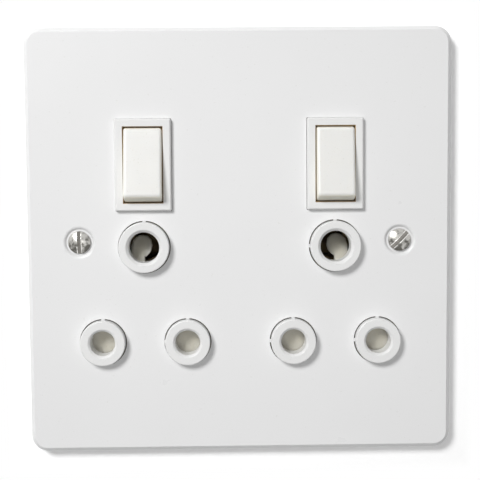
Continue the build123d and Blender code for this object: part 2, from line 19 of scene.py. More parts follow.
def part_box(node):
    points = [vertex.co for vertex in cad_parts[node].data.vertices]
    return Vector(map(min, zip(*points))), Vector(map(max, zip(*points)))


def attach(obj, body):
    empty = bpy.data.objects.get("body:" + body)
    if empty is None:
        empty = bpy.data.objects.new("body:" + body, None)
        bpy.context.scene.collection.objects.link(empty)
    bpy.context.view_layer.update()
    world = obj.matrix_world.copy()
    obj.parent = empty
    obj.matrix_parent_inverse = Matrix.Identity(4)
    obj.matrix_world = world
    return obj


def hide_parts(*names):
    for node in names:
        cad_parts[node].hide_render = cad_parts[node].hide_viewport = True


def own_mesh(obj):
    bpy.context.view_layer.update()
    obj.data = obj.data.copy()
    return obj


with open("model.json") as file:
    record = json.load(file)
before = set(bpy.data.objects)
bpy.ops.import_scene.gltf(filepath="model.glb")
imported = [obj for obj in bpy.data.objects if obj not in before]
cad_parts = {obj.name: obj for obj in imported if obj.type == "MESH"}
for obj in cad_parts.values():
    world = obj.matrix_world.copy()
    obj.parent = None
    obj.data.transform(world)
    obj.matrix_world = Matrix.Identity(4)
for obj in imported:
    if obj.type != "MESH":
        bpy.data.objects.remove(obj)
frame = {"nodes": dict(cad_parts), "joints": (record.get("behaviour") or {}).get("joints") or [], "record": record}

LOG = logging.getLogger("socket")
MM = 0.001
Colour = tuple[float, float, float]
Triple = tuple[float, float, float]
Span = tuple[float, float]
Value = Union["Signal", float]
Test = Callable[[Vector], bool]
WHITE: Colour = (1.0, 1.0, 1.0)
EVEN: Triple = (1.0, 1.0, 1.0)


def rgba(colour: Colour) -> tuple[float, float, float, float]:
    """Gives a colour with full alpha."""
    return (*colour, 1.0)


@dataclass(frozen=True)
class Grain:
    """Pattern of soft noise.

    Fields:
        size: size of its patches, in millimetres.
        detail: number of finer layers.
        reach: noise between which a patch fades in.
    """

    size: float
    detail: float
    reach: Span = (0.0, 1.0)


class Signal:
    """A shader value: arithmetic on it adds Math nodes to its shader."""

    def __init__(self, shader: "Shader", socket: bpy.types.NodeSocket) -> None:
        """Wraps one output socket of a shader."""
        self.shader = shader
        self.socket = socket

    def math(self, operation: str, *values: Value) -> "Signal":
        """Adds one Math node.

        Args:
            operation: the node's operation.
            values: its inputs, in order.

        Returns:
            The node's result.
        """
        return self.shader.signal("ShaderNodeMath", {"operation": operation}, dict(enumerate(values)))

    def __add__(self, other: Value) -> "Signal":
        """Adds a value."""
        return self.math("ADD", self, other)

    def __radd__(self, other: float) -> "Signal":
        """Adds to a number."""
        return self.math("ADD", other, self)

    def __sub__(self, other: Value) -> "Signal":
        """Takes a value away."""
        return self.math("SUBTRACT", self, other)

    def __rsub__(self, other: float) -> "Signal":
        """Takes this from a number."""
        return self.math("SUBTRACT", other, self)

    def __mul__(self, other: Value) -> "Signal":
        """Multiplies by a value."""
        return self.math("MULTIPLY", self, other)

    def __rmul__(self, other: float) -> "Signal":
        """Multiplies a number by this."""
        return self.math("MULTIPLY", other, self)

    def __gt__(self, other: Value) -> "Signal":
        """Gives 1 where this is above the value and 0 elsewhere."""
        return self.math("GREATER_THAN", self, other)

    def __abs__(self) -> "Signal":
        """Gives the size without its sign."""
        return self.math("ABSOLUTE", self)

    def root(self) -> "Signal":
        """Gives the square root."""
        return self.math("SQRT", self)

    def sine(self) -> "Signal":
        """Gives the sine."""
        return self.math("SINE", self)

    def most(self, other: Value) -> "Signal":
        """Gives the larger of this and a value."""
        return self.math("MAXIMUM", self, other)

    def between(self, low: float, high: float) -> "Signal":
        """Maps low to 0 and high to 1, clamped and smooth.

        Args:
            low: value that gives 0.
            high: value that gives 1.

        Returns:
            The mapped value.
        """
        settings = {"interpolation_type": "SMOOTHSTEP"}
        return self.shader.signal("ShaderNodeMapRange", settings, {0: self, 1: low, 2: high})

    def band(self, rise: Span, fall: Span) -> "Signal":
        """Gives 1 between two slopes and 0 on either side of them.

        Args:
            rise: values between which it goes up to 1.
            fall: values between which it goes back to 0.

        Returns:
            The band.
        """
        return self.between(*rise) * (1.0 - self.between(*fall))


class Shader:
    """Node tree of one finish or of the sky; finishes are read in Object coordinates."""

    def __init__(self, owner: bpy.types.Material | bpy.types.World) -> None:
        """Starts an empty tree for its owner."""
        owner.use_nodes = True
        self.owner = owner
        self.tree = owner.node_tree
        self.tree.nodes.clear()

    @classmethod
    def of_finish(cls, name: str) -> "Shader":
        """Starts the shader of a new material."""
        return cls(bpy.data.materials.new(name))

    def node(self, kind: str, settings: dict | None = None, inputs: dict | None = None) -> bpy.types.Node:
        """Adds a node.

        Args:
            kind: the node's type.
            settings: its properties, set first.
            inputs: values or signals of its sockets, by name or number.

        Returns:
            The new node.
        """
        made = self.tree.nodes.new(kind)
        for key, value in (settings or {}).items():
            setattr(made, key, value)
        for key, value in (inputs or {}).items():
            if isinstance(value, Signal):
                self.tree.links.new(value.socket, made.inputs[key])
            else:
                made.inputs[key].default_value = value
        return made

    def signal(self, kind: str, settings: dict | None = None, inputs: dict | None = None,
               output: int | str = 0) -> Signal:
        """Adds a node and gives one of its outputs.

        Args:
            kind: the node's type.
            settings: its properties.
            inputs: values or signals of its sockets.
            output: name or number of the output.

        Returns:
            That output.
        """
        return Signal(self, self.node(kind, settings, inputs).outputs[output])

    def place(self, stretch: Triple) -> Signal:
        """Gives Object coordinates, stretched along each axis."""
        point = self.signal("ShaderNodeTexCoord", output="Object")
        return self.signal("ShaderNodeMapping", None, {"Vector": point, "Scale": stretch})

    def axes(self) -> tuple[Signal, Signal, Signal]:
        """Gives x, y and z of the Object coordinates in millimetres."""
        point = self.place((1 / MM, 1 / MM, 1 / MM))
        made = self.node("ShaderNodeSeparateXYZ", None, {0: point})
        return tuple(Signal(self, socket) for socket in made.outputs)

    def noise(self, grain: Grain, stretch: Triple = EVEN) -> Signal:
        """Gives soft noise.

        Args:
            grain: its pattern.
            stretch: how much finer it is along each axis.

        Returns:
            The noise, from 0 to 1.
        """
        inputs = {"Vector": self.place(stretch), "Scale": 1 / (grain.size * MM), "Detail": grain.detail}
        return self.signal("ShaderNodeTexNoise", None, inputs)

    def patches(self, grain: Grain) -> Signal:
        """Gives 1 in the patches of a pattern and 0 between them."""
        return self.noise(grain).between(*grain.reach)

    def mix(self, share: Value, first: Signal | Colour, second: Signal | Colour) -> Signal:
        """Mixes two colours.

        Args:
            share: share of the second.
            first: colour at share 0.
            second: colour at share 1.

        Returns:
            The mixed colour.
        """
        ends = [end if isinstance(end, Signal) else rgba(end) for end in (first, second)]
        return self.signal("ShaderNodeMix", {"data_type": "RGBA"}, {0: share, 6: ends[0], 7: ends[1]}, 2)

    def blend(self, share: Value, first: Signal, second: Signal) -> Signal:
        """Blends two shaders.

        Args:
            share: share of the second.
            first: shader at share 0.
            second: shader at share 1.

        Returns:
            The blended shader.
        """
        return self.signal("ShaderNodeMixShader", None, {0: share, 1: first, 2: second})

    def bump(self, height: Signal, depth: float) -> Signal:
        """Turns a height into a normal; depth is in millimetres."""
        inputs = {"Height": height, "Distance": depth * MM, "Strength": 1.0}
        return self.signal("ShaderNodeBump", None, inputs, "Normal")

    def surface(self, inputs: dict) -> bpy.types.Material:
        """Closes the shader with a principled surface.

        Args:
            inputs: values or signals of its sockets.

        Returns:
            The finished material.
        """
        self.close(self.signal("ShaderNodeBsdfPrincipled", None, inputs))
        return self.owner

    def direct(self) -> Signal:
        """Gives 1 on rays from the camera, a mirror or glass, and 0 on gathered light."""
        path = self.node("ShaderNodeLightPath").outputs
        names = ("Is Camera Ray", "Is Glossy Ray", "Is Transmission Ray")
        camera, mirror, glass = (Signal(self, path[name]) for name in names)
        return camera.most(mirror).most(glass)

    def close(self, skin: Signal) -> None:
        """Joins a shader to the owner's output."""
        sky = isinstance(self.owner, bpy.types.World)
        self.node("ShaderNodeOutputWorld" if sky else "ShaderNodeOutputMaterial", None, {"Surface": skin})


@dataclass(frozen=True)
class Layout:
    """Places on the front, in millimetres from the middle of the plate.

    Fields:
        outlet_x: middle of an outlet.
        earth_z: middle of the earth bores.
        row_z: middle of the line bores.
        pin_x: line bores from the middle of their outlet.
        switch_z: pivots of the rockers.
        screw_x: fixing screws.
    """

    outlet_x: float = 0.0
    earth_z: float = 0.0
    row_z: float = 0.0
    pin_x: float = 0.0
    switch_z: float = 0.0
    screw_x: float = 0.0

    @classmethod
    def of_record(cls) -> "Layout":
        """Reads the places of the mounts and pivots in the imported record."""
        mounts = {mount["name"]: mount for mount in frame["record"]["mounts"]}
        earth, line = (Vector(mounts["right_" + word + "_pin"]["pos_m"]) / MM for word in ("earth", "live"))
        pivot = next(joint for joint in frame["joints"] if joint["name"] == "right_rocker_tilt")
        screws = mounts["wall_box_screws"]["dims"]["spacing_x_mm"]
        return cls(earth.x, earth.z, line.z, line.x - earth.x, pivot["pos_m"][2] / MM, screws / 2)

    def from_outlet(self, point: Vector) -> float:
        """Gives how far a point is from the middle of its outlet, sideways."""
        return abs(abs(point.x) - self.outlet_x)


class Lay(Enum):
    """Direction of the marks that working leaves on a metal, as a stretch of their pattern."""

    ALONG_X = (0.06, 1.0, 1.0)
    ALONG_Z = (1.0, 1.0, 0.06)
    TUMBLED = EVEN


@dataclass(frozen=True)
class Moulding:
    """Moulded plastic: even colour, cloudy patches, fine specks and a moulded skin.

    Fields:
        colour: colour of the plastic.
        cloud: colour of its cloudy patches.
        speck: colour of its specks.
        roughness: of its skin.
        speck_share: strength of the specks.
        skin: depth of the moulded skin, in millimetres.
        seep: share of the light that goes into the plastic.
        seep_depth: how far it goes, in millimetres.
        seep_tint: how far red, green and blue go, as shares of that.
        clouds, specks, fine, handling: patterns of the patches, the specks, the skin and the touched places.
        handled: how far handling spreads the roughness.
        grained: how far the skin spreads the roughness.
    """

    name: str
    slot: str
    colour: Colour
    cloud: Colour
    speck: Colour
    roughness: float
    speck_share: float = 0.3
    skin: float = 0.004
    seep: float = 0.0
    seep_depth: float = 2.0
    seep_tint: Colour = (1.0, 0.97, 0.92)
    clouds: Grain = Grain(14.0, 3.0, (0.35, 0.7))
    specks: Grain = Grain(0.5, 1.0, (0.66, 0.76))
    fine: Grain = Grain(0.35, 2.0)
    handling: Grain = Grain(5.0, 4.0)
    handled: float = 0.16
    grained: float = 0.05

    def colouring(self, shader: Shader) -> Signal:
        """Gives the colour with its cloudy patches and specks."""
        base = shader.mix(shader.patches(self.clouds), self.colour, self.cloud)
        return shader.mix(shader.patches(self.specks) * self.speck_share, base, self.speck)

    def material(self) -> bpy.types.Material:
        """Builds the finish."""
        shader = Shader.of_finish(self.name)
        fine = shader.noise(self.fine)
        handling = shader.noise(self.handling)
        return shader.surface({
            "Base Color": self.colouring(shader),
            "Roughness": self.roughness + (handling - 0.5) * self.handled + (fine - 0.5) * self.grained,
            "Normal": shader.bump(fine, self.skin),
            "Subsurface Weight": self.seep,
            "Subsurface Radius": self.seep_tint,
            "Subsurface Scale": self.seep_depth * MM,
        })


@dataclass(frozen=True)
class ShadedGapMoulding(Moulding):
    """Front moulding: painted shade darkens the gaps round the collars, and painted shade in a brown tone darkens
    the gaps beside the rockers.

    Fields:
        layout: places of the bores and switches.
        bores: radius inside which the earth and line bores get no painted shade, in millimetres.
        opening: half width and half height of a switch opening, in millimetres.
        collar_gap_shade: colour of the painted shade in the gaps round the collars.
        collar_gap_y: slopes of the band of painted shade below the plate, in millimetres.
        rim_gap_shade: colour of the painted shade, in a brown tone, in the gaps beside the rockers.
        rim_gap_y: slopes of the band of painted shade below the rim of an opening, in millimetres.
    """

    layout: Layout = Layout()
    bores: Span = (5.2, 4.4)
    opening: Span = (6.05, 11.45)
    # Painted shade: a dark colour laid into the gaps round the collars, where shade falls.
    collar_gap_shade: Colour = (0.15, 0.13, 0.1)
    collar_gap_y: tuple[Span, Span] = ((-4.9, -4.1), (-3.75, -3.6))
    # Painted shade in a brown tone, laid into the gaps beside the rockers.
    rim_gap_shade: Colour = (0.5, 0.32, 0.12)
    rim_gap_y: tuple[Span, Span] = ((-6.7, -6.3), (-5.2, -4.2))

    def colouring(self, shader: Shader) -> Signal:
        """Gives the clean colour, with painted shade in the gaps."""
        x, y, z = shader.axes()
        across = abs(abs(x) - self.layout.outlet_x)
        aside = across - self.layout.pin_x
        earth_up = z - self.layout.earth_z
        line_up = z - self.layout.row_z
        off_earth = (across * across + earth_up * earth_up).root() > self.bores[0]
        off_line = (aside * aside + line_up * line_up).root() > self.bores[1]
        # Mask of the painted shade round the collars: a band just behind the plate's face, outside the bores.
        collar_gap_mask = y.band(*self.collar_gap_y) * off_earth * off_line
        in_height = self.opening[1] - abs(z - self.layout.switch_z) > 0.0
        beside = (self.opening[0] - across > 0.0) * in_height
        # Mask of that painted shade: a band below the rim of each switch opening.
        rim_gap_mask = y.band(*self.rim_gap_y) * beside
        collar_shaded = shader.mix(collar_gap_mask, super().colouring(shader), self.collar_gap_shade)
        return shader.mix(rim_gap_mask, collar_shaded, self.rim_gap_shade)


@dataclass(frozen=True)
class RockerMoulding(Moulding):
    """Rocker: clean face, a warmer and lighter tint on its flanks behind the face, and patchy painted shade in a
    brown tone where it sits in the surround.

    Fields:
        layout: place of the switch.
        pivot: height of the pivot over the wall, in millimetres.
        face: distance of the face from the pivot, in millimetres.
        lean: angle at which the face stands at rest, in degrees.
        flank_tint: warmer, lighter colour of the flanks behind the face.
        flank_tint_below: depths below the face between which the tint begins, in millimetres.
        flank_shade: colour of the painted shade, in a brown tone, where the rocker sits in the surround.
        flank_shade_share: strength of that painted shade.
        flank_shade_y: slopes of the band of painted shade, in millimetres.
        breakup: pattern of the patches that break up the painted shade.
    """

    layout: Layout = Layout()
    pivot: float = 4.2
    face: float = 4.6
    lean: float = 9.0
    # A warmer, lighter tint on the flanks behind the face.
    flank_tint: Colour = (0.86, 0.835, 0.73)
    flank_tint_below: Span = (0.1, 0.6)
    # Painted shade in a brown tone on the flanks, in the gap where the rocker sits in the surround.
    flank_shade: Colour = (0.5, 0.33, 0.13)
    flank_shade_share: float = 0.45
    flank_shade_y: tuple[Span, Span] = ((-6.85, -6.2), (-5.2, -4.2))
    breakup: Grain = Grain(2.5, 2.0, (0.2, 0.6))

    def colouring(self, shader: Shader) -> Signal:
        """Gives the clean colour, tinted behind the face and with patchy painted shade in the surround."""
        _, y, z = shader.axes()
        turn = math.radians(self.lean)
        out = (z - self.layout.switch_z) * math.sin(turn) - (y + self.pivot) * math.cos(turn)
        # Flanks behind the face take the warmer, lighter tint.
        below = (self.face - out).between(*self.flank_tint_below)
        tinted = shader.mix(below, super().colouring(shader), self.flank_tint)
        # Patchy painted shade in a band on the flanks below the rim.
        patchy = shader.patches(self.breakup) * self.flank_shade_share
        return shader.mix(y.band(*self.flank_shade_y) * patchy, tinted, self.flank_shade)


@dataclass(frozen=True)
class Enamel:
    """Stoved enamel on steel sheet: faint orange peel, rubbed patches and dust nibs.

    Fields:
        colour: colour of the enamel.
        cloud: colour of its cloudy patches.
        roughness: of its skin.
        peel: depth of the orange peel, in millimetres.
        nib: colour of the dust nibs.
        nib_share: strength of the dust nibs.
        rubbed: how far rubbing spreads the roughness.
        clouds, nibs, ripples, rubbing: patterns of the patches, the nibs, the peel and the rubbed places.
    """

    name: str
    slot: str
    colour: Colour
    cloud: Colour
    roughness: float
    peel: float = 0.006
    nib: Colour = (0.62, 0.61, 0.58)
    nib_share: float = 0.25
    rubbed: float = 0.1
    clouds: Grain = Grain(30.0, 3.0, (0.3, 0.75))
    nibs: Grain = Grain(0.8, 1.0, (0.72, 0.8))
    ripples: Grain = Grain(1.6, 2.0)
    rubbing: Grain = Grain(9.0, 4.0)

    def material(self) -> bpy.types.Material:
        """Builds the finish."""
        shader = Shader.of_finish(self.name)
        base = shader.mix(shader.patches(self.clouds), self.colour, self.cloud)
        return shader.surface({
            "Base Color": shader.mix(shader.patches(self.nibs) * self.nib_share, base, self.nib),
            "Roughness": self.roughness + (shader.noise(self.rubbing) - 0.5) * self.rubbed,
            "Normal": shader.bump(shader.noise(self.ripples), self.peel),
        })


@dataclass(frozen=True)
class Metal:
    """Worked metal: marks along one direction, tarnish in patches.

    Fields:
        colour: colour of the bright metal.
        tarnish: colour of its patches.
        roughness: of the bright metal.
        lay: direction of the marks.
        marks: depth of the marks, in millimetres.
        tarnish_share: strength of the tarnish.
        marked: how far the marks spread the roughness.
        dulled: roughness that the tarnish adds.
        patches, grain: patterns of the tarnish and of the marks.
    """

    name: str
    slot: str
    colour: Colour
    tarnish: Colour
    roughness: float
    lay: Lay = Lay.TUMBLED
    marks: float = 0.003
    tarnish_share: float = 0.7
    marked: float = 0.2
    dulled: float = 0.12
    patches: Grain = Grain(4.0, 4.0, (0.42, 0.72))
    grain: Grain = Grain(0.25, 3.0)

    def material(self) -> bpy.types.Material:
        """Builds the finish."""
        shader = Shader.of_finish(self.name)
        patches = shader.patches(self.patches)
        grain = shader.noise(self.grain, self.lay.value)
        return shader.surface({
            "Base Color": shader.mix(patches * self.tarnish_share, self.colour, self.tarnish),
            "Metallic": 1.0,
            "Roughness": self.roughness + (grain - 0.5) * self.marked + patches * self.dulled,
            "Normal": shader.bump(grain, self.marks),
        })


@dataclass(frozen=True)
class TurnedScrew:
    """Nickel-plated screw: turning rings on its head, a painted highlight along its slot's edges, painted dark
    reflections in patches, painted shade in its slot, thread on its shank.

    Fields:
        colour: colour of the bright plate.
        tarnish: colour of its dark patches, painted reflections of the dark surroundings.
        roughness: of the bright plate.
        centre_x: the screws from the middle of the plate, in millimetres.
        slot_w: width of the slots, in millimetres.
        turns: directions of the left and the right slot, in degrees.
        slot_shade: colour of the painted shade on the slots' floor and on the foot of each head in its dimple.
        slot_shade_y: where that painted shade begins, as y in millimetres.
        slot_glint: colour of the painted highlight along the slots' edges.
        slot_glint_at: slopes of the band of painted highlight, in millimetres from the wall of a slot.
        ring_pitch: pitch of the turning rings, in millimetres.
        ring_share: height of the rings against the thread.
        thread_pitch: pitch of the thread, in millimetres.
        thread_y: where the thread begins, as y in millimetres.
        relief: half the depth of the thread, in millimetres.
        ringed: roughness that the rings add or take away.
        dulled: roughness that the dark patches add.
        sag: how much more of the painted dark reflection lies lower down, for each millimetre.
        patches, breakup: patterns of the painted dark reflections and of the breaks in the painted highlight along
            the slots.
    """

    name: str
    slot: str
    colour: Colour
    # Here the tarnish colour paints the dark reflections of the surroundings.
    tarnish: Colour
    roughness: float
    centre_x: float
    slot_w: float = 1.0
    turns: Span = (0.0, 0.0)
    # Painted shade for the slots' floor and the foot of each head.
    slot_shade: Colour = (0.14, 0.134, 0.123)
    slot_shade_y: Span = (-4.95, -4.8)
    # Colour of the painted highlight along the slots' edges.
    slot_glint: Colour = (0.9, 0.89, 0.86)
    slot_glint_at: tuple[Span, Span] = ((-0.1, 0.0), (0.16, 0.28))
    ring_pitch: float = 0.22
    ring_share: float = 0.02
    thread_pitch: float = 0.6
    thread_y: float = 0.05
    relief: float = 0.12
    ringed: float = 0.03
    dulled: float = 0.1
    sag: float = 0.035
    patches: Grain = Grain(1.2, 3.0, (0.38, 0.64))
    breakup: Grain = Grain(0.8, 1.0, (0.25, 0.7))

    def from_slot(self, x: Signal, z: Signal) -> Signal:
        """Gives how far a point is from the middle line of its screw's slot.

        Args:
            x: place across the plate, in millimetres.
            z: place up the plate, in millimetres.

        Returns:
            The distance in millimetres.
        """
        left, right = (math.radians(turn) for turn in self.turns)
        at_left = abs((x + self.centre_x) * math.cos(left) + z * math.sin(left))
        at_right = abs((x - self.centre_x) * math.cos(right) + z * math.sin(right))
        return at_left + (at_right - at_left) * (x > 0.0)

    def material(self) -> bpy.types.Material:
        """Builds the finish."""
        shader = Shader.of_finish(self.name)
        x, y, z = shader.axes()
        across = abs(x) - self.centre_x
        reach = (across * across + z * z).root()
        rings = (reach * (math.tau / self.ring_pitch)).sine()
        thread = ((y * (math.tau / self.thread_pitch)).sine() + 1.0) * (y > self.thread_y)
        # Painted reflections: dark patches of the tarnish colour, more of them lower down on each head.
        patches = (shader.noise(self.patches) - z * self.sag).between(*self.patches.reach)
        aside = self.from_slot(x, z) - self.slot_w / 2
        # Painted highlight: a bright band along the upper edges of each slot, broken in patches.
        edge = aside.band(*self.slot_glint_at) * shader.patches(self.breakup)
        patchy = shader.mix(edge, shader.mix(patches, self.colour, self.tarnish), self.slot_glint)
        return shader.surface({
            # Painted shade: the slots' floor and the foot of each head, behind the given depth, turn dark.
            "Base Color": shader.mix(y.between(*self.slot_shade_y), patchy, self.slot_shade),
            "Metallic": 1.0,
            "Roughness": self.roughness + rings * self.ringed + patches * self.dulled,
            "Normal": shader.bump(rings * self.ring_share + thread, self.relief),
        })


Finish = Union[Moulding, Enamel, Metal, TurnedScrew]


@dataclass
class Palette:
    """All finishes of the socket, each made once.

    Fields:
        layout: places on the front, for the finishes that keep to them.
        made: the materials made so far, by name.
    """

    layout: Layout
    plate: Finish = Enamel("white_enamel", "plate_paint", (0.8, 0.8, 0.8), (0.792, 0.792, 0.792), 0.3)
    rear: Finish = Moulding("dark_phenolic", "rear_plastic", (0.045, 0.04, 0.036), (0.06, 0.05, 0.042),
                            (0.13, 0.1, 0.07), 0.5, speck_share=0.8, skin=0.01)
    # Painted shade: dark brown colour of the strips laid into the gaps round the rockers.
    shade_strip: Finish = Moulding("painted_shade_strip", "front_plastic", (0.4, 0.26, 0.1), (0.25, 0.16, 0.07),
                            (0.12, 0.09, 0.05), 0.8, speck_share=0.8, skin=0.02)
    shutter: Finish = Moulding("beige_plastic", "shutter_plastic", (0.62, 0.59, 0.5), (0.6, 0.57, 0.48),
                               (0.45, 0.42, 0.34), 0.5, seep=1.0, seep_depth=5.0)
    zinc: Finish = Metal("zinc_plate", "zinc_steel", (0.62, 0.63, 0.64), (0.5, 0.5, 0.48), 0.34)
    spring: Finish = Metal("spring_wire", "spring_steel", (0.5, 0.5, 0.51), (0.38, 0.37, 0.36), 0.3)
    brass: Finish = Metal("rolled_brass", "brass", (0.78, 0.58, 0.26), (0.6, 0.42, 0.18), 0.3,
                          Lay.ALONG_X)
    # Painted shade: a darkened copy of the rolled brass, for the strips and bars that lie deep in the moulding.
    shaded_brass: Finish = Metal("shaded_brass", "brass", (0.2, 0.15, 0.085), (0.08, 0.062, 0.04), 0.45,
                               Lay.ALONG_X)
    copper: Finish = Metal("copper_strip", "copper_strip", (0.8, 0.46, 0.3), (0.55, 0.3, 0.18), 0.3,
                           Lay.ALONG_Z)
    silver: Finish = Metal("silver_face", "contact_silver", (0.84, 0.83, 0.8), (0.6, 0.58, 0.54), 0.28)
    made: dict[str, bpy.types.Material] = field(default_factory=dict)

    @property
    def front(self) -> Finish:
        """Finish of the front moulding, with painted shade in the gaps at its own bores and openings."""
        return ShadedGapMoulding("white_urea", "front_plastic", (0.79, 0.79, 0.783), (0.775, 0.775, 0.768),
                              (0.65, 0.65, 0.63), 0.36, layout=self.layout)

    @property
    def rocker(self) -> Finish:
        """Finish of the rockers, with the flank tint and the painted shade placed at their own switch."""
        return RockerMoulding("ivory_urea", "rocker_plastic", (0.82, 0.816, 0.794), (0.83, 0.825, 0.798),
                               (0.6, 0.58, 0.5), 0.34, seep=0.6, seep_depth=1.5, layout=self.layout)

    @property
    def screw(self) -> Finish:
        """Finish of the fixing screws, turned about their own axes."""
        return TurnedScrew("nickel_plate", "nickel", (0.5, 0.49, 0.465), (0.12, 0.116, 0.104), 0.24,
                           self.layout.screw_x)

    def material(self, finish: Finish) -> bpy.types.Material:
        """Gives the material of a finish, made at its first use."""
        if finish.name not in self.made:
            self.made[finish.name] = finish.material()
        return self.made[finish.name]


def anywhere(_: Vector) -> bool:
    """Passes every edge of a mesh."""
    return True


def only(kind: type, items: Sequence) -> list:
    """Picks the vertices, edges or faces from what an operator gives back."""
    return [item for item in items if isinstance(item, kind)]


def facing_out(x: float, y: float, z: float) -> Matrix:
    """Gives the move to a place in metres that turns local z to the front."""
    return Matrix(((1, 0, 0, x), (0, 0, -1, y), (0, 1, 0, z), (0, 0, 0, 1)))


def cut_at(bm: bmesh.types.BMesh, x: float, clear: bool = False) -> list[bmesh.types.BMEdge]:
    """Cuts a mesh by the upright plane at one x.

    Args:
        bm: the mesh.
        x: place of the plane, in millimetres.
        clear: whether to drop what has a smaller x.

    Returns:
        The edges in the plane.
    """
    in_plane = 1e-7
    cut = bmesh.ops.bisect_plane(bm, geom=bm.verts[:] + bm.edges[:] + bm.faces[:], dist=in_plane,
                                 plane_co=(x * MM, 0, 0), plane_no=(1, 0, 0), clear_inner=clear)
    return only(bmesh.types.BMEdge, cut["geom_cut"])


def join(whole: bmesh.types.BMesh, part: bmesh.types.BMesh) -> None:
    """Adds one mesh to another.

    Args:
        whole: mesh that takes the part.
        part: mesh to add, freed here.
    """
    spare = bpy.data.meshes.new("spare")
    part.to_mesh(spare)
    part.free()
    whole.from_mesh(spare)
    bpy.data.meshes.remove(spare)


def placed(name: str, data: bpy.types.ID) -> bpy.types.Object:
    """Makes an object of its data and links it to the scene."""
    made = bpy.data.objects.new(name, data)
    bpy.context.scene.collection.objects.link(made)
    return made


def meshed(name: str, bm: bmesh.types.BMesh, material: bpy.types.Material) -> bpy.types.Object:
    """Makes an object of one material from a mesh.

    Args:
        name: the object's name.
        bm: the mesh, freed here.
        material: its material.

    Returns:
        The new object.
    """
    mesh = bpy.data.meshes.new(name)
    bm.to_mesh(mesh)
    bm.free()
    mesh.materials.append(material)
    return placed(name, mesh)


@dataclass(frozen=True)
class Rounding:
    """Sharp outward edges that get a radius.

    Fields:
        where: test of an edge's middle, in millimetres.
        radius: in millimetres.
        steps: facets across the round.
        above: smallest turn of the faces there, in degrees.
        clamp: keep the round within the shortest edge that it meets.
    """

    where: Test
    radius: float
    steps: int = 3
    above: float = 25.0
    clamp: bool = True

    def apply(self, bm: bmesh.types.BMesh) -> None:
        """Rounds the edges of the mesh that pass the test."""
        limit = math.radians(self.above)
        edges = [
            edge for edge in bm.edges
            if len(edge.link_faces) == 2 and edge.is_convex and edge.calc_face_angle(0.0) > limit
            and self.where((edge.verts[0].co + edge.verts[1].co) / 2 / MM)
        ]
        if edges:
            bmesh.ops.bevel(bm, geom=edges, offset=self.radius * MM, offset_type="OFFSET",
                            segments=self.steps, profile=0.5, affect="EDGES", material=-1,
                            clamp_overlap=self.clamp, loop_slide=True)


